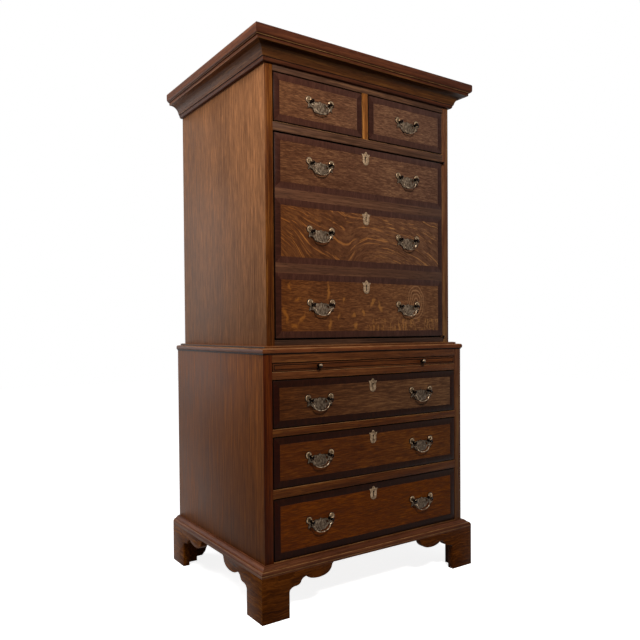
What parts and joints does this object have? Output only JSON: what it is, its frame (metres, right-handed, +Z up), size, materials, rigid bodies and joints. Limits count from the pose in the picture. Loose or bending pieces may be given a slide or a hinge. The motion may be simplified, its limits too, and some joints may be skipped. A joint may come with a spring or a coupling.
{
  "type": "chest on chest",
  "caption": "Oak chest on chest: short drawers over a cupboard whose door is dressed as drawers, on a lower case with a brushing slide, long drawers and bracket feet.",
  "frame": {"origin": "at the floor, under the middle of the chest's bounding box", "axes": "+Z up, the front faces -Y, +X to the viewer's right"},
  "size_m": [0.84, 0.64, 1.64],
  "materials": {
    "case_oak": "stained oak, vertical grain, waxed to a soft shine",
    "rail_oak": "golden oak, waxed to a soft shine",
    "moulding_oak": "dark red-brown stained oak, worked to mouldings and brackets, waxed",
    "field_oak": "quarter-sawn oak with ray fleck, crossbanded in dark mahogany, waxed",
    "inner_pine": "plain pine, unpolished",
    "brass": "aged brass, dull in its hollows and bright where hands rub it"
  },
  "bodies": {
    "carcass": {"upper_side_left": "case_oak", "upper_side_right": "case_oak", "upper_top_board": "case_oak", "upper_bottom_board": "rail_oak", "upper_back_panel": "inner_pine", "cornice": "moulding_oak", "upper_top_rail": "rail_oak", "short_drawer_divider": "rail_oak", "upper_middle_rail": "rail_oak", "upper_dustboard": "inner_pine", "cupboard_shelf": "inner_pine", "upper_door_hinge": "brass", "lower_door_hinge": "brass", "lower_side_left": "case_oak", "lower_side_right": "case_oak", "lower_top_board": "inner_pine", "lower_bottom_board": "inner_pine", "lower_back_panel": "inner_pine", "lower_top_rail": "rail_oak", "slide_rail": "rail_oak", "long_drawer_rail_1": "rail_oak", "long_drawer_rail_2": "rail_oak", "base_rail": "rail_oak", "slide_dustboard": "inner_pine", "long_drawer_dustboard_1": "inner_pine", "long_drawer_dustboard_2": "inner_pine", "waist_moulding": "moulding_oak", "base_moulding": "moulding_oak", "foot_front_left": "moulding_oak", "foot_front_right": "moulding_oak", "foot_rear_left": "moulding_oak", "foot_rear_right": "moulding_oak"},
    "short_drawer_left": {"short_drawer_left_front": "field_oak", "short_drawer_left_box": "inner_pine"},
    "short_drawer_right": {"short_drawer_right_front": "field_oak", "short_drawer_right_box": "inner_pine"},
    "long_drawer_1": {"long_drawer_1_front": "field_oak", "long_drawer_1_box": "inner_pine"},
    "long_drawer_2": {"long_drawer_2_front": "field_oak", "long_drawer_2_box": "inner_pine"},
    "long_drawer_3": {"long_drawer_3_front": "field_oak", "long_drawer_3_box": "inner_pine"},
    "brushing_slide": {"brushing_slide": "rail_oak", "slide_knob_left": "brass", "slide_knob_right": "brass"},
    "door": {"cupboard_door": "field_oak"},
    "short_drawer_left_bail": {"short_drawer_left_bail": "brass"},
    "short_drawer_right_bail": {"short_drawer_right_bail": "brass"},
    "door_bail_1_left": {"door_bail_1_left": "brass"},
    "door_bail_1_right": {"door_bail_1_right": "brass"},
    "door_bail_2_left": {"door_bail_2_left": "brass"},
    "door_bail_2_right": {"door_bail_2_right": "brass"},
    "door_bail_3_left": {"door_bail_3_left": "brass"},
    "door_bail_3_right": {"door_bail_3_right": "brass"},
    "long_drawer_1_bail_left": {"long_drawer_1_bail_left": "brass"},
    "long_drawer_1_bail_right": {"long_drawer_1_bail_right": "brass"},
    "long_drawer_2_bail_left": {"long_drawer_2_bail_left": "brass"},
    "long_drawer_2_bail_right": {"long_drawer_2_bail_right": "brass"},
    "long_drawer_3_bail_left": {"long_drawer_3_bail_left": "brass"},
    "long_drawer_3_bail_right": {"long_drawer_3_bail_right": "brass"}
  },
  "joints": [
    {"name": "short_drawer_left_slide", "type": "slide", "parent": "carcass", "child": "short_drawer_left", "axis": [0, -1, 0], "range_m": [0, 0.4]},
    {"name": "short_drawer_right_slide", "type": "slide", "parent": "carcass", "child": "short_drawer_right", "axis": [0, -1, 0], "range_m": [0, 0.4]},
    {"name": "long_drawer_1_slide", "type": "slide", "parent": "carcass", "child": "long_drawer_1", "axis": [0, -1, 0], "range_m": [0, 0.4]},
    {"name": "long_drawer_2_slide", "type": "slide", "parent": "carcass", "child": "long_drawer_2", "axis": [0, -1, 0], "range_m": [0, 0.4]},
    {"name": "long_drawer_3_slide", "type": "slide", "parent": "carcass", "child": "long_drawer_3", "axis": [0, -1, 0], "range_m": [0, 0.4]},
    {"name": "brushing_slide_slide", "type": "slide", "parent": "carcass", "child": "brushing_slide", "axis": [0, -1, 0], "range_m": [0, 0.3]},
    {"name": "door_hinge", "type": "hinge", "parent": "carcass", "child": "door", "pos_m": [0.335, -0.2665, 1.08], "axis": [0, 0, 1], "range_deg": [0, 110]},
    {"name": "short_drawer_left_bail_pivot", "type": "hinge", "parent": "short_drawer_left", "child": "short_drawer_left_bail", "pos_m": [-0.17325, -0.275, 1.4805], "axis": [-1, 0, 0], "range_deg": [-15, 175]},
    {"name": "short_drawer_right_bail_pivot", "type": "hinge", "parent": "short_drawer_right", "child": "short_drawer_right_bail", "pos_m": [0.17325, -0.275, 1.4805], "axis": [-1, 0, 0], "range_deg": [-15, 175]},
    {"name": "door_bail_1_left_pivot", "type": "hinge", "parent": "door", "child": "door_bail_1_left", "pos_m": [-0.17325, -0.275, 1.302], "axis": [-1, 0, 0], "range_deg": [-15, 175]},
    {"name": "door_bail_1_right_pivot", "type": "hinge", "parent": "door", "child": "door_bail_1_right", "pos_m": [0.17325, -0.275, 1.302], "axis": [-1, 0, 0], "range_deg": [-15, 175]},
    {"name": "door_bail_2_left_pivot", "type": "hinge", "parent": "door", "child": "door_bail_2_left", "pos_m": [-0.17325, -0.275, 1.102], "axis": [-1, 0, 0], "range_deg": [-15, 175]},
    {"name": "door_bail_2_right_pivot", "type": "hinge", "parent": "door", "child": "door_bail_2_right", "pos_m": [0.17325, -0.275, 1.102], "axis": [-1, 0, 0], "range_deg": [-15, 175]},
    {"name": "door_bail_3_left_pivot", "type": "hinge", "parent": "door", "child": "door_bail_3_left", "pos_m": [-0.17325, -0.275, 0.886], "axis": [-1, 0, 0], "range_deg": [-15, 175]},
    {"name": "door_bail_3_right_pivot", "type": "hinge", "parent": "door", "child": "door_bail_3_right", "pos_m": [0.17325, -0.275, 0.886], "axis": [-1, 0, 0], "range_deg": [-15, 175]},
    {"name": "long_drawer_1_bail_left_pivot", "type": "hinge", "parent": "long_drawer_1", "child": "long_drawer_1_bail_left", "pos_m": [-0.202, -0.303, 0.60725], "axis": [-1, 0, 0], "range_deg": [-15, 175]},
    {"name": "long_drawer_1_bail_right_pivot", "type": "hinge", "parent": "long_drawer_1", "child": "long_drawer_1_bail_right", "pos_m": [0.202, -0.303, 0.60725], "axis": [-1, 0, 0], "range_deg": [-15, 175]},
    {"name": "long_drawer_2_bail_left_pivot", "type": "hinge", "parent": "long_drawer_2", "child": "long_drawer_2_bail_left", "pos_m": [-0.202, -0.303, 0.4415], "axis": [-1, 0, 0], "range_deg": [-15, 175]},
    {"name": "long_drawer_2_bail_right_pivot", "type": "hinge", "parent": "long_drawer_2", "child": "long_drawer_2_bail_right", "pos_m": [0.202, -0.303, 0.4415], "axis": [-1, 0, 0], "range_deg": [-15, 175]},
    {"name": "long_drawer_3_bail_left_pivot", "type": "hinge", "parent": "long_drawer_3", "child": "long_drawer_3_bail_left", "pos_m": [-0.202, -0.303, 0.25175], "axis": [-1, 0, 0], "range_deg": [-15, 175]},
    {"name": "long_drawer_3_bail_right_pivot", "type": "hinge", "parent": "long_drawer_3", "child": "long_drawer_3_bail_right", "pos_m": [0.202, -0.303, 0.25175], "axis": [-1, 0, 0], "range_deg": [-15, 175]}
  ]
}
